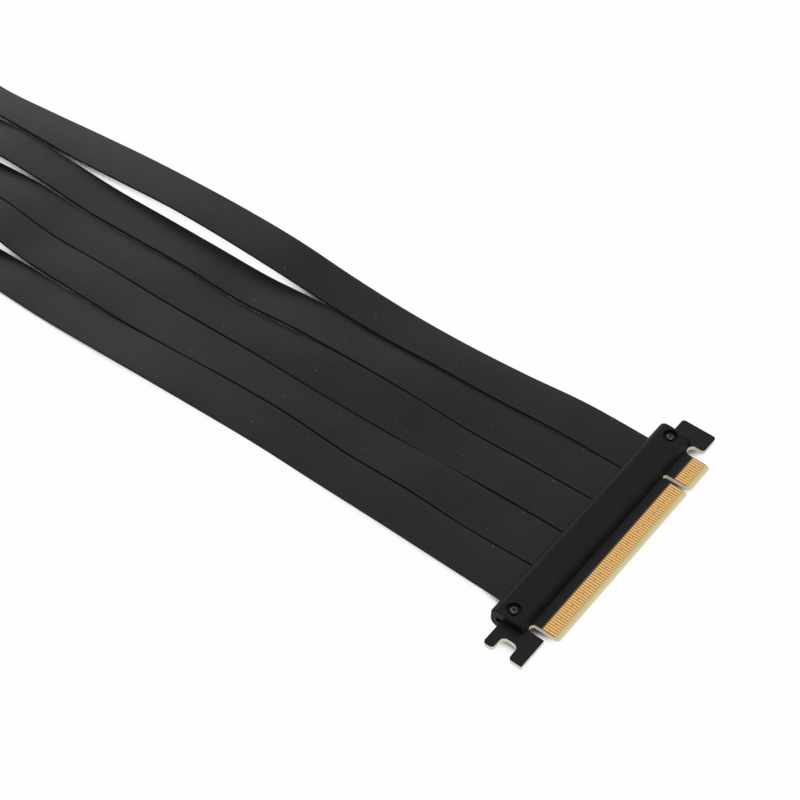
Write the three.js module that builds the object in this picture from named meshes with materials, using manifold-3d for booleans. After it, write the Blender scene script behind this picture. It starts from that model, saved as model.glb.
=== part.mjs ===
// A flexible riser cable for a graphics card: a card-edge plug, five flat ribbons and a slot.
// Millimetres. +X runs from the slot end to the plug's card edge, +Y to the plug's hook, +Z up.
// The origin is on the surface that the cable lies on, under the middle of its two ends.
import * as THREE from 'three';
import { mergeVertices } from 'three/addons/utils/BufferGeometryUtils.js';
import Module from 'manifold-3d';

const wasm = await Module();
wasm.setup();

// Clearances
const seatGap = 0.1;
const fitGap = 0.3;
const cutMargin = 1;

// Circuit boards
const boardThickness = 1.6;

// Card edge: two rows of contact pads, split by a key notch
const shortTab = 11.65;
const longTab = 71.65;
const keyWidth = 1.9;
const padPitch = 1;
const padWidth = 0.7;
const padLength = 4.5;
const padHeight = 0.1;
const padSink = 0.05;
const fingerReach = 6.4;
const bevelLength = 1.75;
const bevelAngle = THREE.MathUtils.degToRad(20);
const tabCornerRadius = 0.8;

// Plug board behind the card edge, measured from the line where the pads begin
const maskDepth = 11.4;
const notchDepth = 3.4;
const keyRadius = 0.9;

// Hook at one end of the plug board
const hookGap = 4.05;
const hookRadius = 1.8;
const hookWidth = 7.7;
const hookReach = 1.45;
const hookCornerRadius = 1.1;

// Forked tail at its other end
const tailGap = 2.8;
const tailRadius = 1.3;
const tailReach = 2.95;
const tailLength = 11.9;
const forkGap = 5.8;
const forkDepth = 5.4;
const forkRadius = 1.9;
const rearProng = 3.7;
const prongRadius = 1.3;
const tailCornerRadius = 0.3;

// Shells that clamp the ribbons at each end
const shellHeight = 3.3;
const shellEndWall = 3.85;
const shellWall = 1.4;
const shellRoof = 1.2;
const shellDepth = 11.05;
const shellSlope = 1.3;
const shellRearRadius = 2.6;
const shellFrontRadius = 0.6;
const shellEndRadius = 0.5;
const shellCornerRadius = 1;
const shellLip = 1.15;
const shellShift = -0.3;
const boardInset = 4.35;
const boardPocket = 2;

// Screws that close the shells
const screwInset = 6;
const screwClearance = 2.4;
const screwRadius = 1;
const screwHeadRadius = 1.45;
const screwHeadHeight = 0.9;
const screwLength = 5.2;
const crossWidth = 0.5;
const crossLength = 1.7;
const crossDepth = 0.5;
const screwHoleRadius = 1.25;
const counterboreRadius = 2.5;
const counterboreDepth = 1.1;
const bossRadius = 3;

// Flat ribbons
const ribbonCount = 5;
const ribbonWidth = 16.2;
const ribbonGap = 0.3;
const ribbonThickness = 1.1;
const ribbonEdge = 0.3;
const freeLength = 400;
const ribbonSteps = 16;
const ribbonInset = 3.65;
const routeUnit = 1;

// Sealing strips over the solder joints
const sealRise = 1.2;
const sealEndGap = 0.6;

// Slot at the far end
const slotEndWall = 1.9;
const slotWidth = 7.5;
const slotHeight = 11;
const slotDepth = 8.4;
const slotGap = 0.9;
const cardGap = 0.2;
const mouthChamfer = 0.6;
const slotEndRadius = 0.5;
const cavityWidth = 0.62;
const cavityDepth = 1.6;
const cavityFloor = 1.4;
const contactDrop = 1.1;
const contactWidth = 0.42;
const contactThickness = 0.3;
const contactBow = 0.75;
const bowHeight = 0.72;
const pegRadius = 1.1;
const pegLength = 1.4;
const pegInset = 2.6;

// Slot board and its mounting holes
const earLength = 6.65;
const socketDepth = 30;
const socketBoardRadius = 2;
const mountHoleRadius = 1.6;
const mountHoleInset = 4;

// Derived heights
const boardBottom = shellHeight;
const boardTop = boardBottom + boardThickness;
const middle = boardBottom + boardThickness / 2;
const shellTop = boardTop + shellHeight;

// Derived places along X and Y
const tabWidth = shortTab + keyWidth + longTab;
const tabHalf = tabWidth / 2;
const maskLine = boardInset + maskDepth;
const plugDepth = maskLine + fingerReach;
const overallLength = plugDepth + freeLength + socketDepth;
const plugFace = overallLength / 2 - plugDepth;
const socketFace = socketDepth - overallLength / 2;
const hookEnd = tabHalf + hookGap + hookWidth;
const tailEnd = -tabHalf - tailGap - tailLength;
const tabCentre = -(hookEnd + tailEnd) / 2;
const cableCentre = tabCentre + shellShift;
const ribbonPitch = ribbonWidth + ribbonGap;
const ribbonSpan = ribbonPitch * (ribbonCount - 1) + ribbonWidth;
const screwSpacing = ribbonSpan + 2 * screwClearance;
const shellLength = screwSpacing + 2 * shellEndWall;
const slotLength = tabWidth + 2 * slotEndWall;
const pegSpacing = tabWidth - 2 * pegInset;
const socketBoardLength = shellLength + 2 * earLength;

// Finishes
const finish = (color, roughness, metalness = 0) =>
  new THREE.MeshStandardMaterial({ color, roughness, metalness });
const boardBlack = finish(0x17171a, 0.45);
const shellBlack = finish(0x1c1c1e, 0.5);
const ribbonBlack = finish(0x1d1c1e, 0.55);
const slotBlack = finish(0x151516, 0.4);
const sealWhite = finish(0xcfc8b4, 0.5);
const screwSteel = finish(0xa8a8aa, 0.3, 1);

// A closed three.js geometry as a solid that can be cut and joined
function solidOf(geometry) {
  geometry.deleteAttribute('normal');
  geometry.deleteAttribute('uv');
  const merged = mergeVertices(geometry);
  return new wasm.Manifold(new wasm.Mesh({
    numProp: 3,
    vertProperties: merged.attributes.position.array,
    triVerts: new Uint32Array(merged.index.array),
  }));
}

// A solid turned back into a geometry
function geometryOf(solid) {
  const mesh = solid.getMesh();
  const geometry = new THREE.BufferGeometry();
  geometry.setAttribute('position', new THREE.BufferAttribute(mesh.vertProperties, 3));
  geometry.setIndex(new THREE.BufferAttribute(mesh.triVerts, 1));
  const flat = geometry.toNonIndexed();
  flat.computeVertexNormals();
  return flat;
}

const join = (solids) => wasm.Manifold.union(solids);

// A box from its low corner to its high corner
function block(low, high) {
  const size = high.map((value, axis) => value - low[axis]);
  const centre = high.map((value, axis) => (value + low[axis]) / 2);
  return solidOf(new THREE.BoxGeometry(...size).translate(...centre));
}

// An upright round bar
function post(x, y, low, high, radius, sides = 20) {
  const bar = new THREE.CylinderGeometry(radius, radius, high - low, sides);
  return solidOf(bar.rotateX(Math.PI / 2).translate(x, y, (low + high) / 2));
}

// An outline whose corners are [x, y, fillet radius]
function outline(corners) {
  const shape = new THREE.Shape();
  corners.forEach(([x, y, radius = 0], index) => {
    if (!radius) {
      if (index === 0) shape.moveTo(x, y);
      else shape.lineTo(x, y);
      return;
    }
    const corner = new THREE.Vector2(x, y);
    const before = new THREE.Vector2(...corners.at(index - 1)).sub(corner).normalize();
    const after = new THREE.Vector2(...corners[(index + 1) % corners.length]).sub(corner).normalize();
    const half = Math.acos(before.dot(after)) / 2;
    const centre = before.clone().add(after).setLength(radius / Math.sin(half)).add(corner);
    const reach = radius / Math.tan(half);
    const start = before.clone().multiplyScalar(reach).add(corner).sub(centre);
    const end = after.clone().multiplyScalar(reach).add(corner).sub(centre);
    shape.absarc(centre.x, centre.y, radius, start.angle(), end.angle(), start.cross(end) < 0);
  });
  shape.closePath();
  return shape;
}

// An outline in X and Y raised from one height to another
function plate(shape, low, high, curveSegments = 5) {
  const options = { depth: high - low, bevelEnabled: false, curveSegments };
  return solidOf(new THREE.ExtrudeGeometry(shape, options).translate(0, 0, low));
}

// An outline in X and Z run along Y
function bar(shape, low, high) {
  const options = { depth: high - low, bevelEnabled: false, curveSegments: 4 };
  const geometry = new THREE.ExtrudeGeometry(shape, options);
  return solidOf(geometry.rotateX(Math.PI / 2).translate(0, high, 0));
}

// An outline in Y and Z run along X
function beam(shape, low, high) {
  const options = { depth: high - low, bevelEnabled: false, curveSegments: 2 };
  const geometry = new THREE.ExtrudeGeometry(shape, options);
  const turn = new THREE.Matrix4().makeBasis(
    new THREE.Vector3(0, 1, 0), new THREE.Vector3(0, 0, 1), new THREE.Vector3(1, 0, 0),
  );
  return solidOf(geometry.applyMatrix4(turn).translate(low, 0, 0));
}

// A named piece with its finish
function piece(name, solid, material) {
  const mesh = new THREE.Mesh(geometryOf(solid), material);
  mesh.name = name;
  return mesh;
}

// Centres of one row of contacts, counted from the tab's end to both sides of the key
function contactCentres() {
  const centres = [];
  const addTab = (top, width) => {
    const count = Math.floor(width / padPitch);
    const first = (width - (count - 1) * padPitch) / 2;
    for (let index = 0; index < count; index += 1) centres.push(top - first - index * padPitch);
  };
  addTab(tabHalf, shortTab);
  addTab(tabHalf - shortTab - keyWidth, longTab);
  return centres;
}

// Plug board: tab with key notch, hook and forked tail, drawn from the line where the pads begin
function plugBoard() {
  const edge = fingerReach;
  const rear = -maskDepth;
  const keyTop = tabHalf - shortTab;
  const keyBottom = keyTop - keyWidth;
  const hookInner = tabHalf + hookGap;
  const tailInner = -tabHalf - tailGap;
  const forkRear = rear + rearProng;
  const forkFront = forkRear + forkGap;
  const forkBottom = tailEnd + forkDepth;
  const shape = outline([
    [rear, hookEnd, hookCornerRadius],
    [hookReach, hookEnd, hookCornerRadius],
    [hookReach, hookInner, hookCornerRadius],
    [-notchDepth, hookInner, hookRadius],
    [-notchDepth, tabHalf, hookRadius],
    [edge, tabHalf, tabCornerRadius],
    [edge, keyTop, tabCornerRadius],
    [-notchDepth, keyTop, keyRadius],
    [-notchDepth, keyBottom, keyRadius],
    [edge, keyBottom, tabCornerRadius],
    [edge, -tabHalf, tabCornerRadius],
    [-notchDepth, -tabHalf, tailRadius],
    [-notchDepth, tailInner, tailRadius],
    [tailReach, tailInner, tailCornerRadius],
    [tailReach, tailEnd, tailCornerRadius],
    [forkFront, tailEnd, prongRadius],
    [forkFront, forkBottom, forkRadius],
    [forkRear, forkBottom, forkRadius],
    [forkRear, tailEnd, prongRadius],
    [rear, tailEnd, prongRadius],
  ]);
  const screwX = screwInset - maskLine;
  for (const side of [-1, 1]) {
    const hole = new THREE.Path();
    hole.absarc(screwX, shellShift + side * screwSpacing / 2, screwHoleRadius, 0, 2 * Math.PI);
    shape.holes.push(hole);
  }
  const sheet = plate(shape, boardBottom, boardTop);
  const bevelRise = bevelLength * Math.tan(bevelAngle);
  const wedge = (face, direction) => bar(outline([
    [edge - bevelLength, face],
    [edge + cutMargin, face - direction * bevelRise * (1 + cutMargin / bevelLength)],
    [edge + cutMargin, face + direction * cutMargin],
    [edge - bevelLength, face + direction * cutMargin],
  ]), -tabHalf - cutMargin, tabHalf + cutMargin);
  const padEnd = edge - bevelLength;
  const pads = contactCentres().flatMap((y) => [
    [boardTop - padSink, boardTop + padHeight],
    [boardBottom - padHeight, boardBottom + padSink],
  ].map(([low, high]) => block(
    [padEnd - padLength, y - padWidth / 2, low],
    [padEnd, y + padWidth / 2, high],
  )));
  const bevelled = sheet.subtract(wedge(boardTop, 1)).subtract(wedge(boardBottom, -1));
  return join([bevelled, ...pads]).translate(plugFace + maskLine, tabCentre, 0);
}

// One half of a shell, measured from its ribbon side; the lower half is the upper one turned over
function shellHalf(depth, upper) {
  const half = shellLength / 2;
  const foot = depth + shellSlope;
  const low = middle + seatGap / 2;
  const sideView = bar(outline([
    [foot, low],
    [0, low],
    [0, shellTop, shellRearRadius],
    [depth, shellTop, shellFrontRadius],
    [foot, boardTop],
  ]), -half, half);
  const endView = beam(outline([
    [-half, low],
    [half, low],
    [half, shellTop, shellEndRadius],
    [-half, shellTop, shellEndRadius],
  ]), 0, foot);
  const planView = plate(outline([
    [0, -half, shellCornerRadius],
    [foot, -half, shellCornerRadius],
    [foot, half, shellCornerRadius],
    [0, half, shellCornerRadius],
  ]), low, shellTop, 3);
  const body = sideView.intersect(endView).intersect(planView);
  const cavity = block(
    [shellWall, shellWall - half, middle - cutMargin],
    [depth - shellLip, half - shellWall, shellTop - shellRoof],
  );
  const pocket = block(
    [boardInset - boardPocket, -half - cutMargin, middle - cutMargin],
    [foot + cutMargin, half + cutMargin, boardTop + seatGap],
  );
  const ribbonSlot = block(
    [-cutMargin, -ribbonSpan / 2 - fitGap, middle - cutMargin],
    [shellWall + cutMargin, ribbonSpan / 2 + fitGap, middle + ribbonThickness / 2 + fitGap],
  );
  const sides = [-1, 1].map((side) => side * screwSpacing / 2);
  const bossTop = shellTop - shellRoof / 2;
  const bosses = sides.map((y) => post(screwInset, y, boardTop + seatGap, bossTop, bossRadius));
  let solid = join([body.subtract(cavity), ...bosses]).subtract(pocket).subtract(ribbonSlot);
  solid = solid.intersect(body);
  for (const y of sides) {
    const reach = upper ? shellTop + cutMargin : shellTop - shellRoof;
    const radius = upper ? screwHoleRadius : screwRadius + seatGap;
    solid = solid.subtract(post(screwInset, y, middle, reach, radius));
    if (upper) {
      const floor = shellTop - counterboreDepth;
      solid = solid.subtract(post(screwInset, y, floor, shellTop + cutMargin, counterboreRadius));
    }
  }
  return upper ? solid : solid.translate(0, 0, -middle).rotate([180, 0, 0]).translate(0, 0, middle);
}

// A sealing strip over the solder joints, stepped from the ribbons up onto the board
function seal(upper) {
  const start = shellWall + fitGap;
  const step = boardInset - fitGap;
  const end = shellDepth - shellLip - sealEndGap;
  const overRibbon = middle + ribbonThickness / 2 + fitGap;
  const overBoard = boardTop + seatGap;
  const half = screwSpacing / 2 - bossRadius - sealEndGap;
  const strip = bar(outline([
    [start, overRibbon],
    [step, overRibbon],
    [step, overBoard],
    [end, overBoard],
    [end, overBoard + sealRise, sealRise / 2],
    [start, overBoard + sealRise, sealRise / 2],
  ]), -half, half);
  return upper ? strip : strip.translate(0, 0, -middle).rotate([180, 0, 0]).translate(0, 0, middle);
}

// A pan-head screw with a cross recess, standing in the shell's counterbore
function screw(y) {
  const seat = shellTop - counterboreDepth + seatGap;
  const top = seat + screwHeadHeight;
  const head = screwHeadRadius;
  const profile = outline([
    [0, top - screwLength],
    [screwRadius, top - screwLength],
    [screwRadius, seat],
    [head, seat],
    [head, top, screwHeadHeight / 3],
    [0, top],
  ]).getPoints(2);
  const turned = new THREE.LatheGeometry([...profile, profile[0]], 12).rotateX(Math.PI / 2);
  const cross = [[crossLength, crossWidth], [crossWidth, crossLength]].map(([length, width]) => block(
    [-length / 2, -width / 2, top - crossDepth],
    [length / 2, width / 2, top + cutMargin],
  ));
  return solidOf(turned).subtract(join(cross)).translate(screwInset, y, 0);
}

// Slot board with two screw holes, two peg holes and four mounting holes
function socketBoard() {
  const half = socketBoardLength / 2;
  const radius = socketBoardRadius;
  const shape = outline([
    [boardInset, -half, radius],
    [socketDepth, -half, radius],
    [socketDepth, half, radius],
    [boardInset, half, radius],
  ]);
  const addHole = (x, y, holeRadius) => {
    const hole = new THREE.Path();
    hole.absarc(x, y, holeRadius, 0, 2 * Math.PI);
    shape.holes.push(hole);
  };
  for (const side of [-1, 1]) {
    addHole(screwInset, side * screwSpacing / 2, screwHoleRadius);
    addHole(slotCentre, side * pegSpacing / 2, pegRadius + seatGap);
    addHole(boardInset + mountHoleInset, side * (half - mountHoleInset), mountHoleRadius);
    addHole(socketDepth - mountHoleInset, side * (half - mountHoleInset), mountHoleRadius);
  }
  return plate(shape, boardBottom, boardTop);
}

// Slot body: two card cells on either side of the key, contact cavities and the contacts in them
const slotCentre = shellDepth + shellSlope + slotGap + slotWidth / 2;
function slotBody() {
  const bottom = boardTop + seatGap;
  const top = bottom + slotHeight;
  const cellFloor = top - slotDepth;
  const cellHalf = boardThickness / 2 + cardGap;
  const half = slotLength / 2;
  const radius = slotEndRadius;
  const housing = plate(outline([
    [slotCentre - slotWidth / 2, -half, radius],
    [slotCentre + slotWidth / 2, -half, radius],
    [slotCentre + slotWidth / 2, half, radius],
    [slotCentre - slotWidth / 2, half, radius],
  ]), bottom, top, 3);
  const cell = (low, high) => bar(outline([
    [slotCentre - cellHalf, cellFloor],
    [slotCentre + cellHalf, cellFloor],
    [slotCentre + cellHalf, top - mouthChamfer],
    [slotCentre + cellHalf + mouthChamfer + cutMargin, top + cutMargin],
    [slotCentre - cellHalf - mouthChamfer - cutMargin, top + cutMargin],
    [slotCentre - cellHalf, top - mouthChamfer],
  ]), low, high);
  const keyTop = shortTab - tabHalf;
  const shortCell = cell(-tabHalf - cardGap, keyTop + cardGap);
  const longCell = cell(keyTop + keyWidth - cardGap, tabHalf + cardGap);
  const pegs = [-1, 1].map((side) => post(
    slotCentre, side * pegSpacing / 2, bottom - pegLength, bottom + pegLength, pegRadius, 16,
  ));
  const rows = contactCentres().map((y) => -y);
  const cavities = rows.map((y) => block(
    [slotCentre - cellHalf - cavityDepth, y - cavityWidth / 2, bottom + cavityFloor],
    [slotCentre + cellHalf + cavityDepth, y + cavityWidth / 2, top + cutMargin],
  ));
  const contacts = rows.flatMap((y) => [-1, 1].map((side) => contact(y, side, cellHalf, bottom, top)));
  return join([housing, ...pegs])
    .subtract(join([shortCell, longCell, ...cavities]))
    .add(join(contacts));
}

// One spring contact: it rises from the cavity's floor, bows out into the card's way and ends free
function contact(y, side, cellHalf, bottom, top) {
  const foot = bottom + cavityFloor - padSink;
  const tip = top - contactDrop;
  const rise = tip - foot;
  const root = slotCentre + side * (cellHalf + cavityDepth - contactThickness);
  const nose = slotCentre + side * (cellHalf - contactBow + contactThickness);
  const back = side * contactThickness;
  const shape = outline([
    [root + back, foot],
    [root, foot],
    [nose, foot + rise * bowHeight],
    [root, tip],
  ]);
  return bar(shape, y - contactWidth / 2, y + contactWidth / 2);
}

// Ribbon routes, in route units, at even stations from the plug's shell to the socket's.
// swing: how far the ribbon runs off its own lane; rise: its height over the resting height;
// lean: how much its hook side stands over its other side.
const exitRise = (middle - ribbonThickness / 2) / routeUnit;
const routes = [
  {
    swing: [0, 0.3, -0.5, -1.6, -2.1, -2.2, -2.8, -2.6, -2.7, -3.3, -4.1, -5.1, -6.3, -5.5, -3.4, -1.2, 0],
    rise: [exitRise, 2.9, 1.4, 1.3, 1, 2.2, 5, 5.4, 5, 3.9, 2.6, 2.2, 2.3, 1.8, 1.4, 2.7, exitRise],
    lean: [0, -0.3, -1.4, -2.3, -1.2, -0.4, 0.8, 0.4, -0.2, 0.3, -0.3, -2.8, -4.4, -3.1, -0.8, 0, 0],
  },
  {
    swing: [0, 0.2, -0.5, -1.5, -2, -2.1, -3.2, -3.6, -3.9, -4.5, -4.5, -5.1, -6.1, -5.4, -3.4, -1.2, 0],
    rise: [exitRise, 2.3, 1.6, 2.7, 2.3, 1.9, 0.6, 1.2, 0.9, 1, 2.2, 3.2, 2, 1.2, 1.3, 2.7, exitRise],
    lean: [0, 0.1, -0.3, -2.1, -2.9, -1.3, -0.9, -1.9, -1.5, -1.3, -1.7, -1.2, -0.3, 0.1, 0, 0, 0],
  },
  {
    swing: [0, 0, -0.5, -1.2, -1.6, -2.2, -3.3, -3.7, -4, -4.7, -4.5, -5.1, -5.9, -5.3, -3.4, -1.2, 0],
    rise: [exitRise, 2.5, 1.5, 2.2, 1.8, 1.2, 0.9, 1.2, 0.9, 0.9, 2.4, 2.5, 2.1, 1.3, 1.3, 2.7, exitRise],
    lean: [0, -0.4, 0.3, 2.9, 3.2, 0.3, -1.5, 0, -0.6, -0.4, -2.1, -4.5, -3.8, -2, 0, 0, 0],
  },
  {
    swing: [0, -0.1, -0.4, -1.1, -1.4, -2.1, -3.3, -3.8, -4.1, -4.8, -4.6, -4.9, -5.7, -5.2, -3.4, -1.2, 0],
    rise: [exitRise, 2.2, 2.4, 1.6, 2.2, 2.5, 2.3, 1.6, 1.7, 2.2, 4.9, 3.9, 2, 1.1, 1.3, 2.7, exitRise],
    lean: [0, 0.5, -1.2, -2.2, -3.9, -3.1, -1.7, -0.8, -0.6, -2.1, -2.4, -0.4, 0.5, 0.4, 0, 0, 0],
  },
  {
    swing: [0, -0.1, -0.4, -1.1, -1.3, -2, -3.2, -3.8, -4.3, -4.7, -4.8, -5.1, -5.7, -5.2, -3.4, -1.2, 0],
    rise: [exitRise, 2.8, 3.4, 3.7, 4.5, 4.2, 3.8, 2.4, 1.8, 2.1, 1, 1.1, 1, 0.8, 1.2, 2.7, exitRise],
    lean: [0, -1.6, -1.2, -2, -0.7, -0.5, -1.4, -1.9, -1.4, -1.8, -1.8, -0.7, -0.2, 0, 0, 0, 0],
  },
];

// A path whose flat section stays level across, apart from its lean
class FlatPath extends THREE.CatmullRomCurve3 {
  constructor(points, leans) {
    super(points, false, 'centripetal');
    this.leans = leans;
  }

  computeFrenetFrames(segments) {
    const tangents = [];
    const normals = [];
    const binormals = [];
    for (let index = 0; index <= segments; index += 1) {
      const at = index / segments;
      const place = this.getUtoTmapping(at) * (this.leans.length - 1);
      const station = Math.min(Math.floor(place), this.leans.length - 2);
      const lean = THREE.MathUtils.lerp(this.leans[station], this.leans[station + 1], place - station);
      const tilt = Math.asin(lean / ribbonWidth);
      const tangent = this.getTangentAt(at);
      const across = new THREE.Vector3(0, -Math.cos(tilt), -Math.sin(tilt));
      const up = new THREE.Vector3().crossVectors(tangent, across).normalize();
      tangents.push(tangent);
      normals.push(new THREE.Vector3().crossVectors(up, tangent));
      binormals.push(up);
    }
    return { tangents, normals, binormals };
  }
}

// One ribbon: a flat strip with softened edges along its route
function ribbon(index) {
  const { swing, rise, lean } = routes[index];
  const lane = cableCentre + ribbonPitch * ((ribbonCount - 1) / 2 - index);
  const spacing = freeLength / (swing.length - 1);
  const points = swing.map((offset, station) => new THREE.Vector3(
    plugFace - station * spacing,
    lane + offset * routeUnit,
    ribbonThickness / 2 + rise[station] * routeUnit,
  ));
  const path = new FlatPath([
    new THREE.Vector3(plugFace + ribbonInset, lane, middle),
    ...points,
    new THREE.Vector3(socketFace - ribbonInset, lane, middle),
  ], [0, ...lean.map((height) => height * routeUnit), 0]);
  const half = ribbonWidth / 2;
  const thick = ribbonThickness / 2;
  const section = new THREE.Shape([
    [-half, -thick + ribbonEdge], [-half + ribbonEdge, -thick],
    [half - ribbonEdge, -thick], [half, -thick + ribbonEdge],
    [half, thick - ribbonEdge], [half - ribbonEdge, thick],
    [-half + ribbonEdge, thick], [-half, thick - ribbonEdge],
  ].map(([x, y]) => new THREE.Vector2(x, y)));
  return solidOf(new THREE.ExtrudeGeometry(section, { steps: ribbonSteps, extrudePath: path }));
}

// The plug end faces +X, the socket end is turned round to face -X
const atPlug = (solid) => solid.translate(plugFace, cableCentre, 0);
const atSocket = (solid) => solid.rotate([0, 0, 180]).translate(socketFace, cableCentre, 0);

const cable = new THREE.Group();
cable.add(
  piece('plug_board', plugBoard(), boardBlack),
  piece('plug_upper_shell', atPlug(shellHalf(shellDepth, true)), shellBlack),
  piece('plug_lower_shell', atPlug(shellHalf(shellDepth, false)), shellBlack),
  piece('plug_seal_top', atPlug(seal(true)), sealWhite),
  piece('plug_seal_bottom', atPlug(seal(false)), sealWhite),
  piece('plug_screw_hook_side', atPlug(screw(screwSpacing / 2)), screwSteel),
  piece('plug_screw_fork_side', atPlug(screw(-screwSpacing / 2)), screwSteel),
);
for (let index = 0; index < ribbonCount; index += 1) {
  cable.add(piece(`ribbon_${index + 1}`, ribbon(index), ribbonBlack));
}
cable.add(
  piece('socket_board', atSocket(socketBoard()), boardBlack),
  piece('slot_body', atSocket(slotBody()), slotBlack),
  piece('socket_upper_shell', atSocket(shellHalf(shellDepth, true)), shellBlack),
  piece('socket_lower_shell', atSocket(shellHalf(socketDepth - shellSlope, false)), shellBlack),
  piece('socket_seal_top', atSocket(seal(true)), sealWhite),
  piece('socket_seal_bottom', atSocket(seal(false)), sealWhite),
  piece('socket_screw_1', atSocket(screw(-screwSpacing / 2)), screwSteel),
  piece('socket_screw_2', atSocket(screw(screwSpacing / 2)), screwSteel),
);

export default cable;
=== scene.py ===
# %% [markdown]
# # A riser cable for a graphics card
# This lesson dresses a finished construction model. The model gives every solid its place and
# size. Here the soft ribbons, the moulded shells, the gold and the finishes are made, in metres,
# in the same frame: +X towards the plug's card edge, +Y towards its hook, +Z up.

# %% The frame and the tools
import bisect
import math

import bmesh
import bpy
from mathutils import Matrix, Vector


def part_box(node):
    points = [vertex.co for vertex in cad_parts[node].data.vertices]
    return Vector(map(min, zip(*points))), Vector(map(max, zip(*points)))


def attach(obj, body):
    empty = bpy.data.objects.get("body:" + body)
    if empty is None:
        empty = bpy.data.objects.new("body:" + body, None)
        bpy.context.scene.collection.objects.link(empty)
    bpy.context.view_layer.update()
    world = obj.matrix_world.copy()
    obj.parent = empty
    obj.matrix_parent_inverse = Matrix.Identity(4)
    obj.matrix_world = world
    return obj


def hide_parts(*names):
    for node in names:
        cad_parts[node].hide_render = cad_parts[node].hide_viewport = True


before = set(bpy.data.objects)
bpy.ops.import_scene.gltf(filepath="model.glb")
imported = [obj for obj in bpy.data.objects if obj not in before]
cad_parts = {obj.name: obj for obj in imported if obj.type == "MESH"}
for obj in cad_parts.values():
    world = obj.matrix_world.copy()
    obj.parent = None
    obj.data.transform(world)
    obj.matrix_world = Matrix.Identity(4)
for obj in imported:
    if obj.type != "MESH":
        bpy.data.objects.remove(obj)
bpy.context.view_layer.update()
mm = 0.001
print("construction model:", len(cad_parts), "solids")

# %% [markdown]
# The places that the lesson needs are read from the solids, so nothing has to be fitted by eye:
# where the plug's shell starts, how high the boards lie, and where the middle of the cable runs.

# %% Places read from the frame
shell_low, shell_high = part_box("plug_upper_shell")
socket_board_low, socket_board_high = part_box("socket_board")
plug_face = shell_low.x
socket_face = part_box("socket_upper_shell")[1].x
board_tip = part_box("plug_board")[1].x
cable_centre = (shell_low.y + shell_high.y) / 2
board_top = socket_board_high.z
middle = (socket_board_low.z + board_top) / 2
print("free length:", round(plug_face - socket_face, 4), "m")
print("boards' middle at z =", round(middle, 4), "m")

# %% [markdown]
# ## The camera
# The camera stands where the photographer stood. It was worked out from the card edge, which is a
# standard size: 592 mm away, 49.5 degrees up and 38.6 degrees round from the front, with a lens of
# about 79 mm. It is made first, because the cords are checked against what it sees.

# %% The camera
camera_azimuth = 38.56
camera_elevation = 49.50
camera_distance = 592.1 * mm
camera_target = Vector((129.175, 3.575, 4.9)) * mm
sensor_width = 36.0
lens = 79.22


def direction(azimuth, elevation):
    """The way towards an azimuth, counted from the front, and an elevation, both in degrees."""
    turn, lift = math.radians(azimuth), math.radians(elevation)
    return Vector((
        math.sin(turn) * math.cos(lift), -math.cos(turn) * math.cos(lift), math.sin(lift),
    ))


towards_camera = direction(camera_azimuth, camera_elevation)
camera_data = bpy.data.cameras.new("camera")
camera_data.lens = lens
camera_data.sensor_width = sensor_width
camera_data.clip_start = 0.01
camera = bpy.data.objects.new("camera", camera_data)
camera.location = camera_target + towards_camera * camera_distance
camera.rotation_euler = (-towards_camera).to_track_quat("-Z", "Y").to_euler()
bpy.context.scene.collection.objects.link(camera)
bpy.context.scene.camera = camera
print("camera at", [round(value, 3) for value in camera.location])

# %% [markdown]
# ## The ribbons
# The real cable has five flat ribbons. A flat ribbon can't bend sideways, only up and down, and it
# can twist a little, so each one is laid by three lists, one value every 25 mm from the plug's
# shell to the socket's: how far it swings off its own lane, how high it rises over the table, and
# how much its hook side stands over its other side. A curve with a round bevel would be the usual
# cord, but it can't be flat, so each ribbon starts as a straight bar, has its long edges rounded,
# is cut into many short lengths, and is then laid along its route.

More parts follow.
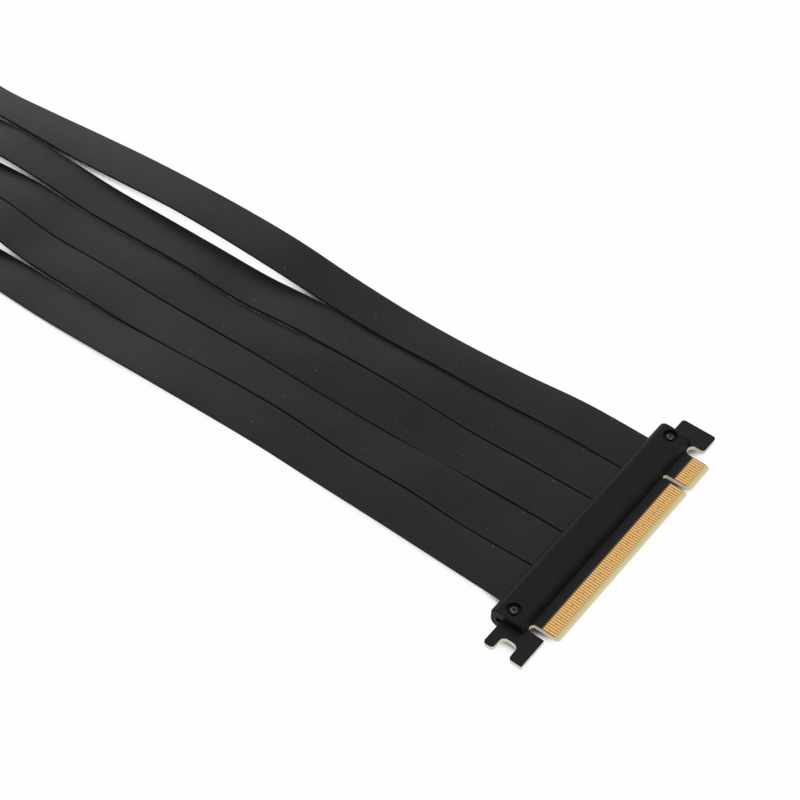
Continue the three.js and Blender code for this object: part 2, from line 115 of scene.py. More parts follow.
# %% Ribbon routes
ribbon_width = 16.2 * mm
ribbon_pitch = 16.5 * mm
ribbon_thickness = 1.1 * mm
ribbon_inset = 3.65 * mm
exit_rise = middle / mm - ribbon_thickness / mm / 2
routes = [
    {
        "swing": [
            0, 0.3, -0.5, -1.6, -2.1, -2.2, -2.8, -2.6, -2.7,
            -3.3, -4.1, -5.1, -6.3, -5.5, -3.4, -1.2, 0,
        ],
        "rise": [
            exit_rise, 2.9, 1.4, 1.3, 1, 2.2, 5, 5.4, 5,
            3.9, 2.6, 2.2, 2.3, 1.8, 1.4, 2.7, exit_rise,
        ],
        "lean": [
            0, -0.3, -1.4, -2.3, -1.2, -0.4, 0.8, 0.4, -0.2,
            0.3, -0.3, -2.8, -4.4, -3.1, -0.8, 0, 0,
        ],
    },
    {
        "swing": [
            0, 0.2, -0.5, -1.5, -2, -2.1, -3.2, -3.6, -3.9,
            -4.5, -4.5, -5.1, -6.1, -5.4, -3.4, -1.2, 0,
        ],
        "rise": [
            exit_rise, 2.3, 1.6, 2.7, 2.3, 1.9, 0.6, 1.2, 0.9,
            1, 2.2, 3.2, 2, 1.2, 1.3, 2.7, exit_rise,
        ],
        "lean": [
            0, 0.1, -0.3, -2.1, -2.9, -1.3, -0.9, -1.9, -1.5,
            -1.3, -1.7, -1.2, -0.3, 0.1, 0, 0, 0,
        ],
    },
    {
        "swing": [
            0, 0, -0.5, -1.2, -1.6, -2.2, -3.3, -3.7, -4,
            -4.7, -4.5, -5.1, -5.9, -5.3, -3.4, -1.2, 0,
        ],
        "rise": [
            exit_rise, 2.5, 1.5, 2.2, 1.8, 1.2, 0.9, 1.2, 0.9,
            0.9, 2.4, 2.5, 2.1, 1.3, 1.3, 2.7, exit_rise,
        ],
        "lean": [0, -0.4, 0.3, 2.9, 3.2, 0.3, -1.5, 0, -0.6, -0.4, -2.1, -4.5, -3.8, -2, 0, 0, 0],
    },
    {
        "swing": [
            0, -0.1, -0.4, -1.1, -1.4, -2.1, -3.3, -3.8, -4.1,
            -4.8, -4.6, -4.9, -5.7, -5.2, -3.4, -1.2, 0,
        ],
        "rise": [
            exit_rise, 2.2, 2.4, 1.6, 2.2, 2.5, 2.3, 1.6, 1.7,
            2.2, 4.9, 3.9, 2, 1.1, 1.3, 2.7, exit_rise,
        ],
        "lean": [
            0, 0.5, -1.2, -2.2, -3.9, -3.1, -1.7, -0.8, -0.6,
            -2.1, -2.4, -0.4, 0.5, 0.4, 0, 0, 0,
        ],
    },
    {
        "swing": [
            0, -0.1, -0.4, -1.1, -1.3, -2, -3.2, -3.8, -4.3,
            -4.7, -4.8, -5.1, -5.7, -5.2, -3.4, -1.2, 0,
        ],
        "rise": [
            exit_rise, 2.8, 3.4, 3.7, 4.5, 4.2, 3.8, 2.4, 1.8,
            2.1, 1, 1.1, 1, 0.8, 1.2, 2.7, exit_rise,
        ],
        "lean": [
            0, -1.6, -1.2, -2, -0.7, -0.5, -1.4, -1.9, -1.4,
            -1.8, -1.8, -0.7, -0.2, 0, 0, 0, 0,
        ],
    },
]


def route_of(index):
    """The ribbon's stations: centre line points in metres, and the lean at each."""
    lane = cable_centre + ribbon_pitch * ((len(routes) - 1) / 2 - index)
    route = routes[index]
    spacing = (plug_face - socket_face) / (len(route["swing"]) - 1)
    stations = [(Vector((plug_face + ribbon_inset, lane, middle)), 0)]
    for step, swing in enumerate(route["swing"]):
        point = Vector((
            plug_face - step * spacing,
            lane + swing * mm,
            ribbon_thickness / 2 + route["rise"][step] * mm,
        ))
        stations.append((point, route["lean"][step] * mm))
    stations.append((Vector((socket_face - ribbon_inset, lane, middle)), 0))
    return stations


print("routes:", len(routes), "ribbons,", len(route_of(0)), "stations each")

# %% [markdown]
# Between two stations the ribbon follows a smooth cubic that keeps its neighbours' direction. The
# stations are unevenly spaced inside the shells, so each stretch counts by the square root of its
# length, which keeps the curve from swinging past a short stretch. At each place the ribbon needs
# three directions: along, across and up. The lean turns the last two about the first.


# %% Laying a strip along its route
def cubic(values, spans, part):
    """The cubic through the middle two of four values, with the spans between them given."""
    before, start, end, after = values
    first, middle_span, last = spans
    leaving = (
        (start - before) / first
        - (end - before) / (first + middle_span)
        + (end - start) / middle_span
    ) * middle_span
    arriving = (
        (end - start) / middle_span
        - (after - start) / (middle_span + last)
        + (after - end) / last
    ) * middle_span
    return (
        start
        + leaving * part
        + (3 * (end - start) - 2 * leaving - arriving) * part**2
        + (2 * (start - end) + leaving + arriving) * part**3
    )


def around_place(values, share):
    """The four values around a share of a list's length, and how far between the middle two."""
    last = len(values) - 1
    place = min(max(share, 0) * last, last - 1e-6)
    first = int(place)
    before = values[first - 1] if first else 2 * values[0] - values[1]
    after = values[first + 2] if first + 2 <= last else 2 * values[last] - values[last - 1]
    return (before, values[first], values[first + 1], after), place - first


def place_on(stations, share):
    """The centre at a share of the way along the stations."""
    around, part = around_place([point for point, lean in stations], share)
    spans = [math.sqrt((far - near).length) for near, far in zip(around, around[1:])]
    return cubic(around, spans, part)


def lean_on(stations, share):
    """The lean at a share of the way along the stations."""
    around, part = around_place([lean for point, lean in stations], share)
    return cubic(around, (1, 1, 1), part)


def share_table(stations, pieces=1200):
    """Shares of the stations at even steps of the ribbon's own length."""
    points = [place_on(stations, step / pieces) for step in range(pieces + 1)]
    run = [0.0]
    for near, far in zip(points, points[1:]):
        run.append(run[-1] + (far - near).length)
    return [length / run[-1] for length in run]


def share_at(table, run):
    """The share of the stations that lies a given part of the ribbon's length along it."""
    step = min(max(bisect.bisect_right(table, run) - 1, 0), len(table) - 2)
    return (step + (run - table[step]) / (table[step + 1] - table[step])) / (len(table) - 1)


def directions_on(stations, table, run):
    """Centre, across and up at a part of the ribbon's length along it."""
    reach = 1e-3
    share = share_at(table, run)
    ahead = place_on(stations, share_at(table, min(run + reach, 1)))
    behind = place_on(stations, share_at(table, max(run - reach, 0)))
    along = (ahead - behind).normalized()
    tilt = math.asin(lean_on(stations, share) / ribbon_width)
    across = Vector((0, math.cos(tilt), math.sin(tilt)))
    up = across.cross(along).normalized()
    return place_on(stations, share), along.cross(up).normalized(), up


first_table = share_table(route_of(0))
halfway = directions_on(route_of(0), first_table, 0.5)[0]
print("halfway:", [round(value, 4) for value in halfway])

# %% [markdown]
# Each ribbon keeps a map of where a point was on the straight strip, so that its fine lengthwise
# lines stay with it.

# %% Ribbon pieces
ribbon_edge = 0.32 * mm
ribbon_cuts = 190
cable_length = 0.407


def new_piece(name, mesh_data):
    """Link a finished mesh as a piece of the cable that rides on its one body."""
    mesh = bpy.data.meshes.new(name)
    mesh_data.normal_update()
    mesh_data.to_mesh(mesh)
    mesh_data.free()
    piece = bpy.data.objects.new(name, mesh)
    bpy.context.scene.collection.objects.link(piece)
    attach(piece, "root")
    return piece


def shade_smooth(piece, degrees=35):
    """Smooth shading that keeps edges sharper than the given angle."""
    for face in piece.data.polygons:
        face.use_smooth = True
    piece.data.set_sharp_from_angle(angle=math.radians(degrees))
    return piece


def running_along(strip):
    """The edges of a straight strip that run from end to end."""
    return [edge for edge in strip.edges if abs(edge.verts[0].co.x - edge.verts[1].co.x) > 0.5]


def ribbon(index):
    """A straight strip with rounded edges, laid along its route."""
    stations = route_of(index)
    table = share_table(stations)
    strip = bmesh.new()
    bmesh.ops.create_cube(strip, size=1)
    bmesh.ops.scale(strip, vec=(1, ribbon_width, ribbon_thickness), verts=strip.verts)
    bmesh.ops.bevel(
        strip, geom=running_along(strip), offset=ribbon_edge, offset_type="OFFSET",
        affect="EDGES", segments=3, profile=0.5, material=-1,
    )
    bmesh.ops.subdivide_edges(
        strip, edges=running_along(strip), cuts=ribbon_cuts, use_grid_fill=True,
    )
    strip_map = strip.loops.layers.uv.new("strip")
    for face in strip.faces:
        for loop in face.loops:
            along = (0.5 - loop.vert.co.x) * cable_length
            loop[strip_map].uv = (along, loop.vert.co.y)
    for vert in strip.verts:
        centre, across, up = directions_on(stations, table, 0.5 - vert.co.x)
        vert.co = centre + across * vert.co.y + up * vert.co.z
    bmesh.ops.recalc_face_normals(strip, faces=strip.faces)
    piece = shade_smooth(new_piece(f"ribbon_jacket_{index + 1}", strip), 60)
    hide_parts(f"ribbon_{index + 1}")
    path = [
        place_on(stations, share_at(table, step / ribbon_cuts))
        for step in range(ribbon_cuts + 1)
    ]
    length = sum((after - before).length for before, after in zip(path, path[1:]))
    return piece, length


ribbons = []
for index in range(len(routes)):
    piece, length = ribbon(index)
    ribbons.append(piece)
    print(piece.name, "runs", round(length, 4), "m")

# %% [markdown]
# ## The moulded shells
# Each end of the cable is clamped by two moulded half shells. They could be kept as the plain
# solids, but their rounded edges would show facets. So each half is modelled again in the solid's
# place: a bar gets its sloped front and rounded edges with bevels, and then the hollows are cut
# with a Boolean modifier, because that keeps the rims exactly where the board and screws are. A
# narrow live bevel breaks the sharp rims, and weighted normals keep the broad faces flat.

# %% Shell sizes
shell_slope = 1.3 * mm
shell_depth = shell_high.x - shell_low.x - shell_slope
shell_half = (shell_high.y - shell_low.y) / 2
shell_top = shell_high.z
part_line = shell_low.z
rear_radius = 2.6 * mm
front_radius = 0.6 * mm
end_radius = 0.7 * mm
shell_wall = 1.4 * mm
shell_roof = 1.2 * mm
pocket_start = 2.35 * mm
seat_gap = 0.1 * mm
fit_gap = 0.3 * mm
beyond = 1 * mm
touching = 1e-6
screw_inset = 6 * mm
screw_side = 43.5 * mm
boss_radius = 3 * mm
hole_radius = 1.25 * mm
pilot_radius = 1.1 * mm
counterbore_radius = 2.5 * mm
counterbore_depth = 1.1 * mm
rim_bevel = 0.16 * mm
lower_past_board = 4.35 * mm - shell_slope
ribbon_side = ribbon_pitch * 2 + ribbon_width / 2
print("shell:", round(shell_half * 2 / mm, 2), "mm long,", round(shell_top / mm, 2), "mm high")


# %% Helpers for cutting and placing
def bar_between(shape, low, high):
    """Add a box from its low corner to its high corner."""
    made = bmesh.ops.create_cube(shape, size=1)["verts"]
    low, high = Vector(low), Vector(high)
    bmesh.ops.scale(shape, vec=high - low, verts=made)
    bmesh.ops.translate(shape, vec=(low + high) / 2, verts=made)


def round_bar(shape, x, y, low, high, radius, sides=48):
    """Add an upright round bar."""
    made = bmesh.ops.create_cone(
        shape, cap_ends=True, segments=sides, radius1=radius, radius2=radius, depth=high - low,
    )["verts"]
    bmesh.ops.translate(shape, vec=(x, y, (low + high) / 2), verts=made)


def soften(shape, edges, radius, segments):
    """Round some edges of a mesh that is being built."""
    bmesh.ops.bevel(
        shape, geom=edges, offset=radius, offset_type="OFFSET", affect="EDGES",
        segments=segments, profile=0.5, material=-1, clamp_overlap=True,
    )


def scratch_object(shape, name):
    mesh = bpy.data.meshes.new(name)
    shape.to_mesh(mesh)
    shape.free()
    scratch = bpy.data.objects.new(name, mesh)
    bpy.context.scene.collection.objects.link(scratch)
    return scratch


def cut_away(body, cutters):
    """Cut each cutter out of a body, and hand the result back as a mesh under construction."""
    solid = scratch_object(body, "cut_body")
    tools = [scratch_object(cutter, "cut_tool") for cutter in cutters]
    for tool in tools:
        cut = solid.modifiers.new("cut", "BOOLEAN")
        cut.operation = "DIFFERENCE"
        cut.solver = "EXACT"
        cut.object = tool
    bpy.context.view_layer.update()
    result = bmesh.new()
    result.from_object(solid, bpy.context.evaluated_depsgraph_get())
    for scratch in [solid, *tools]:
        mesh = scratch.data
        bpy.data.objects.remove(scratch)
        bpy.data.meshes.remove(mesh)
    bmesh.ops.remove_doubles(result, verts=result.verts, dist=touching / 10)
    bmesh.ops.recalc_face_normals(result, faces=result.faces)
    return result


def break_edges(piece, width, degrees=35):
    """Break the sharp edges with a narrow bevel and keep the broad faces flat."""
    shade_smooth(piece, degrees)
    narrow = piece.modifiers.new("broken_edges", "BEVEL")
    narrow.width = width
    narrow.segments = 2
    narrow.limit_method = "ANGLE"
    narrow.angle_limit = math.radians(degrees)
    narrow.use_clamp_overlap = True
    flat = piece.modifiers.new("flat_faces", "WEIGHTED_NORMAL")
    flat.keep_sharp = True
    return piece


print("cutting helpers ready")


# %% One half shell
def half_shell(depth, upper):
    """A half shell at the plug's place in X = 0, Y = 0, its upper half's way up."""
    foot = depth + shell_slope
    body = bmesh.new()
    bar_between(body, (0, -shell_half, part_line), (foot, shell_half, shell_top))
    bmesh.ops.bisect_plane(
        body, geom=[*body.verts, *body.edges, *body.faces],
        plane_co=(0, 0, board_top), plane_no=(0, 0, 1),
    )
    nose = [
        vert for vert in body.verts
        if vert.co.x > foot - touching and vert.co.z > shell_top - touching
    ]
    bmesh.ops.translate(body, vec=(-shell_slope, 0, 0), verts=nose)

    def top_edge(x):
        return [
            edge for edge in body.edges
            if all(
                abs(vert.co.x - x) < touching and vert.co.z > shell_top - touching
                for vert in edge.verts
            )
        ]

    soften(body, top_edge(0), rear_radius, 10)
    soften(body, top_edge(depth), front_radius, 4)
    bmesh.ops.recalc_face_normals(body, faces=body.faces)
    rim = [
        edge for edge in body.edges
        if sorted(abs(face.normal.y) > 0.99 for face in edge.link_faces) == [False, True]
        and not all(vert.co.z < part_line + touching for vert in edge.verts)
    ]
    soften(body, rim, end_radius, 4)

    pocket = bmesh.new()
    bar_between(
        pocket, (pocket_start, -shell_half - beyond, part_line - beyond),
        (foot + beyond, shell_half + beyond, board_top + seat_gap),
    )
    way_in = bmesh.new()
    bar_between(
        way_in, (-beyond, -ribbon_side - fit_gap, part_line - beyond),
        (pocket_start + beyond, ribbon_side + fit_gap, middle + ribbon_thickness / 2 + fit_gap),
    )
    hollow = bmesh.new()
    bar_between(
        hollow, (shell_wall, boss_radius - screw_side, part_line - beyond),
        (depth - shell_wall, screw_side - boss_radius, shell_top - shell_roof),
    )
    holes = bmesh.new()
    hole_top = shell_top + beyond if upper else shell_top - shell_roof
    radius = hole_radius if upper else pilot_radius
    for side in (-screw_side, screw_side):
        round_bar(holes, screw_inset, side, part_line - beyond, hole_top, radius)
    cutters = [pocket, way_in, hollow, holes]
    if upper:
        counterbores = bmesh.new()
        for side in (-screw_side, screw_side):
            round_bar(
                counterbores, screw_inset, side,
                shell_top - counterbore_depth, shell_top + beyond, counterbore_radius,
            )
        cutters.append(counterbores)
    return cut_away(body, cutters)


def at_plug():
    return Matrix.Translation((plug_face, cable_centre, 0))


def at_socket():
    return Matrix.Translation((socket_face, cable_centre, 0)) @ Matrix.Rotation(math.pi, 4, "Z")


def turned_over():
    """Turn an upper half over about the boards' middle, to make a lower half."""
    return Matrix.Translation((0, 0, 2 * middle)) @ Matrix.Diagonal((1, -1, -1, 1))


def shell(name, depth, upper, place):
    body = half_shell(depth, upper)
    where = place if upper else place @ turned_over()
    bmesh.ops.transform(body, matrix=where, verts=body.verts)
    piece = break_edges(new_piece(name + "_moulded", body), rim_bevel)
    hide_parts(name)
    return piece


lower_depth = socket_board_high.x - socket_board_low.x + lower_past_board
shells = [
    shell("plug_upper_shell", shell_depth, True, at_plug()),
    shell("plug_lower_shell", shell_depth, False, at_plug()),
    shell("socket_upper_shell", shell_depth, True, at_socket()),
    shell("socket_lower_shell", lower_depth, False, at_socket()),
]
for piece in shells:
    print(piece.name, len(piece.data.polygons), "faces")

# %% [markdown]
# ## The screws
# Small pan-head screws close the shells. A screw is round, so half of its outline is drawn once and
# spun about its axis. The cross recess is cut with two tapered bars.


# %% Screws
screw_seat = shell_top - counterbore_depth + seat_gap
cross_length = 1.7 * mm
cross_width = 0.42 * mm
cross_floor = 0.3 * mm
cross_top = 1.2 * mm
cross_taper = 0.55
cross_turn = 0.6
screw_profile = (
    (0, 0.9), (0.55, 0.87), (1.0, 0.76), (1.3, 0.55), (1.44, 0.28), (1.45, 0),
    (1.0, 0), (1.0, -4.0), (0.8, -4.3), (0, -4.3),
)


def screw(name, x, y):
    """A pan-head screw, spun from its outline, with a cross recess."""
    body = bmesh.new()
    verts = [body.verts.new((radius * mm, 0, height * mm)) for radius, height in screw_profile]
    for near, far in zip(verts, verts[1:]):
        body.edges.new((near, far))
    bmesh.ops.spin(
        body, geom=[*body.verts, *body.edges], cent=(0, 0, 0), axis=(0, 0, 1),
        angle=2 * math.pi, steps=32, use_merge=True,
    )
    bmesh.ops.remove_doubles(body, verts=body.verts, dist=touching / 10)
    bmesh.ops.recalc_face_normals(body, faces=body.faces)
    cutters = []
    for x_size, y_size in ((cross_length, cross_width), (cross_width, cross_length)):
        cross = bmesh.new()
        bar_between(
            cross, (-x_size / 2, -y_size / 2, cross_floor), (x_size / 2, y_size / 2, cross_top),
        )
        floor = [vert for vert in cross.verts if vert.co.z < cross_floor + touching]
        bmesh.ops.scale(cross, vec=(cross_taper, cross_taper, 1), verts=floor)
        cutters.append(cross)
    body = cut_away(body, cutters)
    turned = Matrix.Rotation(cross_turn, 3, "Z")
    bmesh.ops.rotate(body, cent=(0, 0, 0), matrix=turned, verts=body.verts)
    bmesh.ops.translate(body, vec=(x, y, screw_seat), verts=body.verts)
    piece = break_edges(new_piece(name + "_turned", body), 0.03 * mm)
    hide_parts(name)
    return piece


screws = []
for name in [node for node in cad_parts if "screw" in node]:
    low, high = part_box(name)
    screws.append(screw(name, (low.x + high.x) / 2, (low.y + high.y) / 2))
print("screws:", len(screws), "with", len(screws[0].data.polygons), "faces each")

# %% [markdown]
# ## Finishes
# Every finish is a small node tree around one Principled shader. Values that are the same all over
# are set on the shader itself. What varies, such as colour, roughness and tiny bumps, comes from
# noise on the object's own coordinates, scaled so that the grain has its real size.


# %% Helpers for finishes
class Finish:
    """A material with short calls for the nodes that the finishes below share."""

    def __init__(self, name, **values):
        self.material = bpy.data.materials.new(name)
        self.material.use_nodes = True
        self.tree = self.material.node_tree
        self.shader = self.tree.nodes["Principled BSDF"]
        for socket, value in values.items():
            self.shader.inputs[socket.replace("_", " ")].default_value = value
        self.coordinates = self.tree.nodes.new("ShaderNodeTexCoord").outputs["Object"]

    def link(self, source, target):
        self.tree.links.new(source, target)

    def to_shader(self, source, socket):
        self.link(source, self.shader.inputs[socket])

    def strip_map(self):
        """Read the ribbon's own map in place of the object's coordinates."""
        node = self.tree.nodes.new("ShaderNodeUVMap")
        node.uv_map = "strip"
        self.coordinates = node.outputs["UV"]

    def stretched(self, scale):
        """The coordinates scaled along each axis."""
        node = self.tree.nodes.new("ShaderNodeMapping")
        node.inputs["Scale"].default_value = scale
        self.link(self.coordinates, node.inputs["Vector"])
        return node.outputs["Vector"]

    def noise(self, scale, detail=3, roughness=0.6, stretch=None):
        node = self.tree.nodes.new("ShaderNodeTexNoise")
        node.inputs["Scale"].default_value = scale
        node.inputs["Detail"].default_value = detail
        node.inputs["Roughness"].default_value = roughness
        self.link(self.stretched(stretch) if stretch else self.coordinates, node.inputs["Vector"])
        return node.outputs["Fac"]

    def spread(self, source, low, high, from_low=0.3, from_high=0.7):
        """Map a range of a value onto another, without going past its ends."""
        node = self.tree.nodes.new("ShaderNodeMapRange")
        for socket, value in (
            ("From Min", from_low), ("From Max", from_high), ("To Min", low), ("To Max", high),
        ):
            node.inputs[socket].default_value = value
        self.link(source, node.inputs["Value"])
        return node.outputs["Result"]

    def math(self, operation, first, second=0.0):
        node = self.tree.nodes.new("ShaderNodeMath")
        node.operation = operation
        for slot_index, value in enumerate((first, second)):
            if isinstance(value, (int, float)):
                node.inputs[slot_index].default_value = value
            else:
                self.link(value, node.inputs[slot_index])
        return node.outputs["Value"]

    def near(self, value, centre, reach):
        """1 where a value is within reach of a centre, else 0."""
        distance = self.math("ABSOLUTE", self.math("SUBTRACT", value, centre))
        return self.math("LESS_THAN", distance, reach)

    def both(self, first, second):
        """1 where both are 1, else 0."""
        return self.math("MULTIPLY", first, second)

    def mix(self, share, first, second):
        """A colour between two, each a colour or the output of another node."""
        node = self.tree.nodes.new("ShaderNodeMix")
        node.data_type = "RGBA"
        self.link(share, node.inputs["Factor"])
        for socket, value in (("A", first), ("B", second)):
            target = next(
                item for item in node.inputs if item.name == socket and item.type == "RGBA"
            )
            if isinstance(value, tuple):
                target.default_value = (*value, 1)
            else:
                self.link(value, target)
        return [item for item in node.outputs if item.type == "RGBA"][0]

    def bump(self, height, distance, strength=1.0):
        node = self.tree.nodes.new("ShaderNodeBump")
        node.inputs["Strength"].default_value = strength
        node.inputs["Distance"].default_value = distance
        self.link(height, node.inputs["Height"])
        self.to_shader(node.outputs["Normal"], "Normal")

    def axes(self):
        node = self.tree.nodes.new("ShaderNodeSeparateXYZ")
        self.link(self.coordinates, node.inputs["Vector"])
        return node.outputs["X"], node.outputs["Y"], node.outputs["Z"]


def dress(piece, finish):
    """Put one finish on every slot of a piece."""
    piece.data.materials.clear()
    piece.data.materials.append(finish.material)
    return piece


print("finish helpers ready")

# %% [markdown]
# The ribbon's jacket is a soft black plastic. It is matt, but it mirrors a pale studio at a low
# angle, and the extruder leaves faint lines along it. A few specks of dust lie on it.


# %% Ribbon jacket
def ribbon_jacket():
    finish = Finish("ribbon_jacket")
    finish.strip_map()
    cloud = finish.noise(90, detail=4)
    lines = finish.noise(1, detail=2, stretch=(14, 2600, 1))
    base = finish.mix(
        finish.spread(cloud, 0, 1), (0.0040, 0.0030, 0.0040), (0.0062, 0.0050, 0.0062),
    )
    speck = finish.spread(finish.noise(900, detail=1, roughness=0.2), 0, 1, 0.805, 0.83)
    finish.to_shader(finish.mix(speck, base, (0.16, 0.155, 0.15)), "Base Color")
    finish.to_shader(finish.spread(lines, 0.34, 0.5), "Roughness")
    finish.to_shader(finish.spread(lines, 0.165, 0.225), "Specular IOR Level")
    finish.bump(lines, 0.022 * mm, 0.7)
    return finish


jacket = ribbon_jacket()
for piece in ribbons:
    dress(piece, jacket)
print("dressed", len(ribbons), "ribbons")

# %% [markdown]
# ## Boards
# Both boards stay as the solids are, and one finish tells their surfaces apart by where they are
# and which way they face. The pads stand a little proud of the faces. Bare laminate shows between
# them and on the bevel, and the sawn edges are pale glass fibre. The rest is black solder mask.

# %% Board finish
pads_start = plug_face + 15.75 * mm
pads_pitch = 1 * mm
pad_height = 0.04 * mm
rim_width = 0.4 * mm
bevel_length = 1.75 * mm
tab_half = 42.6 * mm
tab_centre = 1.475 * mm
tab_margin = 0.4 * mm
mark_place = 2.3 * mm
mark_width = 0.24 * mm
mark_share = 0.3
gold = (0.80, 0.51, 0.20)


def board_finish():
    finish = Finish("circuit_board", Specular_IOR_Level=0.15)
    x, y, z = finish.axes()
    normal = finish.tree.nodes.new("ShaderNodeNewGeometry").outputs["Normal"]
    parts = finish.tree.nodes.new("ShaderNodeSeparateXYZ")
    finish.link(normal, parts.inputs["Vector"])
    slope = finish.math("ABSOLUTE", parts.outputs["Z"])
    flat = finish.math("GREATER_THAN", slope, 0.97)
    upright = finish.math("LESS_THAN", slope, 0.05)
    height = finish.math("ABSOLUTE", finish.math("SUBTRACT", z, middle))
    is_pad = finish.math("GREATER_THAN", height, board_top - middle + pad_height / 2)
    on_tab = finish.near(y, tab_centre, tab_half + tab_margin)
    past_mask = finish.both(finish.math("GREATER_THAN", x, pads_start), on_tab)
    mask_end = finish.near(x, pads_start - rim_width / 2, rim_width / 2)
    mask_rim = finish.both(finish.both(mask_end, on_tab), flat)

    grain = finish.spread(finish.noise(2600, detail=2), 0, 1)
    weave = finish.spread(finish.noise(3200, detail=3), 0, 1)
    mask = finish.mix(grain, (0.0045, 0.0045, 0.0055), (0.0068, 0.0068, 0.008))
    laminate = finish.mix(weave, (0.27, 0.11, 0.03), (0.36, 0.16, 0.05))
    towards_tip = finish.spread(x, 0, 1, board_tip - bevel_length, board_tip)
    bevel = finish.mix(towards_tip, (0.50, 0.43, 0.19), (0.70, 0.63, 0.42))
    sawn = finish.mix(weave, (0.74, 0.69, 0.54), (0.82, 0.78, 0.65))
    colour = finish.mix(past_mask, mask, laminate)
    colour = finish.mix(flat, finish.mix(upright, bevel, sawn), colour)
    colour = finish.mix(mask_rim, colour, (0.10, 0.05, 0.018))

    # Every third pad has a short dark test mark half way along
    threes = finish.math("DIVIDE", finish.math("SUBTRACT", y, tab_centre), 3 * pads_pitch)
    marked = finish.math("LESS_THAN", finish.math("FRACT", threes), mark_share)
    mark = finish.both(marked, finish.near(x, pads_start + mark_place, mark_width / 2))
    plating = finish.mix(grain, gold, (0.74, 0.45, 0.16))
    plating = finish.mix(mark, plating, (0.26, 0.13, 0.05))
    finish.to_shader(finish.mix(is_pad, colour, plating), "Base Color")
    finish.to_shader(is_pad, "Metallic")
    finish.to_shader(finish.spread(is_pad, 0.42, 0.3, 0, 1), "Roughness")
    return finish


board = board_finish()
dress(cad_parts["plug_board"], board)
dress(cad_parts["socket_board"], board)
print("pads start at x =", round(pads_start, 5))

# %% [markdown]
# ## Moulded parts, screws and sealant
# The shells are moulded in black plastic with a fine grain. The slot's body is a harder, smoother
# black, and its spring contacts are told from it by where they stand in their cavities.

# %% Plastic, steel, slot and sealant
def shell_finish():
    finish = Finish("shell_plastic", Specular_IOR_Level=0.14)
    grain = finish.noise(5200, detail=2)
    cloud = finish.noise(120, detail=3)
    finish.to_shader(
        finish.mix(finish.spread(cloud, 0, 1), (0.0018, 0.0018, 0.0022), (0.0034, 0.0034, 0.004)),
        "Base Color",
    )
    finish.to_shader(finish.spread(grain, 0.44, 0.56), "Roughness")
    finish.bump(grain, 0.02 * mm, 0.5)
    return finish


def screw_finish():
    finish = Finish("screw_blackened", Metallic=1.0)
    # Bright specks scattered at random in the base colour are painted glints, standing in for the
    # head's small highlights
    painted_glint_specks = finish.spread(finish.noise(1900, detail=2), 0, 1, 0.58, 0.7)
    finish.to_shader(finish.mix(painted_glint_specks, (0.045, 0.045, 0.05), (0.3, 0.29, 0.28)), "Base Color")
    finish.to_shader(finish.spread(finish.noise(3000), 0.26, 0.42), "Roughness")
    return finish


def seal_finish():
    finish = Finish("sealant", Roughness=0.45, Subsurface_Weight=0.15)
    finish.to_shader(
        finish.mix(finish.noise(300), (0.60, 0.55, 0.42), (0.72, 0.68, 0.56)), "Base Color",
    )
    return finish


# The slot's contacts: the first one's place, and where they show in their cavities
first_contact = cable_centre - tab_half + 0.825 * mm
contact_reach = 2.55 * mm
cavity_floor = board_top + 1.52 * mm
cavity_rim = 0.9 * mm
between_contacts = 0.24


def slot_finish():
    finish = Finish("slot_plastic", Roughness=0.36, Specular_IOR_Level=0.4)
    slot_low, slot_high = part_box("slot_body")
    x, y, z = finish.axes()
    pitches = finish.math("DIVIDE", finish.math("SUBTRACT", y, first_contact), pads_pitch)
    half_way = finish.near(finish.math("FRACT", pitches), 0.5, between_contacts)
    in_row = finish.math("SUBTRACT", 1, half_way)
    in_cavity = finish.near(x, (slot_low.x + slot_high.x) / 2, contact_reach)
    above = finish.math("GREATER_THAN", z, cavity_floor)
    below = finish.math("LESS_THAN", z, slot_high.z - cavity_rim)
    contact = finish.both(finish.both(in_row, in_cavity), finish.both(above, below))
    finish.to_shader(finish.mix(contact, (0.008, 0.008, 0.009), gold), "Base Color")
    finish.to_shader(contact, "Metallic")
    return finish


shell_plastic = shell_finish()
screw_black = screw_finish()
sealant = seal_finish()
slot_plastic = slot_finish()
for piece in shells:
    dress(piece, shell_plastic)
for piece in screws:
    dress(piece, screw_black)
for name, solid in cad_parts.items():
    if "seal" in name:
        dress(solid, sealant)
dress(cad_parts["slot_body"], slot_plastic)
print("dressed the solids")

# %% [markdown]
# ## Table and light
# The scene is a plain studio shot on white. For the camera and the mirrors the floor is lifted
# nearly to white, and the little that is left keeps the cable's soft shadow. Deep in a narrow gap
# the floor's glow is painted near black wherever ambient occlusion finds the gap: a painted shade.
# The light is an even white studio. A wide soft lamp behind on the left draws the sheen on the
# ribbons, and a weaker one overhead lifts the plug.


# %% Table
def seen_directly(tree):
    """1 for what the camera and the mirrors see, 0 for light that falls on something."""
    path = tree.nodes.new("ShaderNodeLightPath")
    total = path.outputs["Is Camera Ray"]
    for ray in ("Is Glossy Ray", "Is Transmission Ray"):
        added = tree.nodes.new("ShaderNodeMath")
        added.operation = "ADD"
        added.use_clamp = True
        tree.links.new(total, added.inputs[0])
        tree.links.new(path.outputs[ray], added.inputs[1])
        total = added.outputs["Value"]
    return total


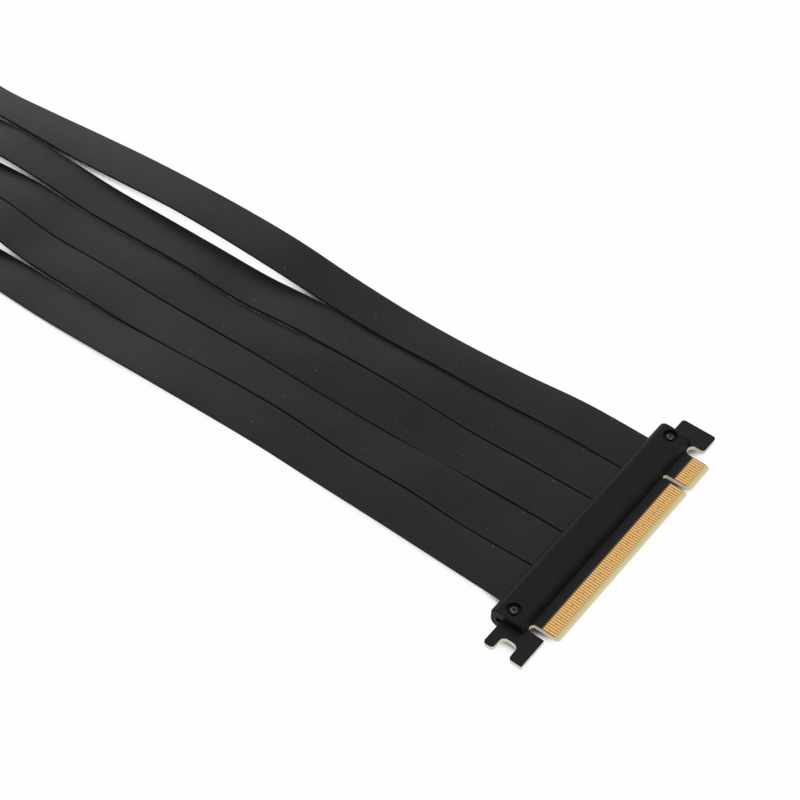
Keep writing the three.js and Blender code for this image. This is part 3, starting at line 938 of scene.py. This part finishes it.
def table():
    surface = bmesh.new()
    bmesh.ops.create_grid(surface, x_segments=1, y_segments=1, size=4)
    mesh = bpy.data.meshes.new("table")
    surface.to_mesh(mesh)
    surface.free()
    top = bpy.data.objects.new("table", mesh)
    bpy.context.scene.collection.objects.link(top)
    finish = Finish("table_white", Roughness=0.9, Specular_IOR_Level=0.0)
    finish.shader.inputs["Base Color"].default_value = (0.8, 0.8, 0.8, 1)
    tree = finish.tree
    glow = tree.nodes.new("ShaderNodeEmission")
    glow.inputs["Strength"].default_value = 1.0
    open_above = tree.nodes.new("ShaderNodeAmbientOcclusion")
    open_above.samples = 16
    open_above.inputs["Distance"].default_value = 9 * mm
    # Painted shade: where ambient occlusion finds a narrow gap, the glow's colour goes from white
    # to near black
    painted_gap_shade_mask = finish.spread(open_above.outputs["AO"], 0, 1, 0.22, 0.36)
    finish.link(finish.mix(painted_gap_shade_mask, (0.012, 0.012, 0.013), (1, 1, 1)), glow.inputs["Color"])
    lift = finish.math("MULTIPLY", seen_directly(tree), 0.97)
    mixed = tree.nodes.new("ShaderNodeMixShader")
    tree.links.new(lift, mixed.inputs["Fac"])
    tree.links.new(finish.shader.outputs["BSDF"], mixed.inputs[1])
    tree.links.new(glow.outputs["Emission"], mixed.inputs[2])
    tree.links.new(mixed.outputs["Shader"], tree.nodes["Material Output"].inputs["Surface"])
    mesh.materials.append(finish.material)
    return top


table()
print("table made")

# %% Light
world_level = 0.85
world = bpy.data.worlds.new("studio")
world.use_nodes = True
bpy.context.scene.world = world
background = world.node_tree.nodes["Background"]
background.inputs["Color"].default_value = (1, 1, 1, 1)
level = world.node_tree.nodes.new("ShaderNodeMapRange")
level.inputs["To Min"].default_value = world_level
level.inputs["To Max"].default_value = 1.0
world.node_tree.links.new(seen_directly(world.node_tree), level.inputs["Value"])
world.node_tree.links.new(level.outputs["Result"], background.inputs["Strength"])


def lamp(name, azimuth, elevation, distance, size, power):
    """A square soft lamp that looks at the frame's middle from a direction."""
    data = bpy.data.lights.new(name, "AREA")
    data.shape = "SQUARE"
    data.size = size
    data.energy = power
    light = bpy.data.objects.new(name, data)
    way = direction(azimuth, elevation)
    light.location = way * distance
    light.rotation_euler = (-way).to_track_quat("-Z", "Y").to_euler()
    bpy.context.scene.collection.objects.link(light)
    return light


lamp("back_left", 250, 30, 1.6, 1.4, 7)
lamp("overhead", 20, 75, 1.5, 1.2, 3)
bpy.context.scene.view_settings.view_transform = "Standard"
print("world level", world_level)
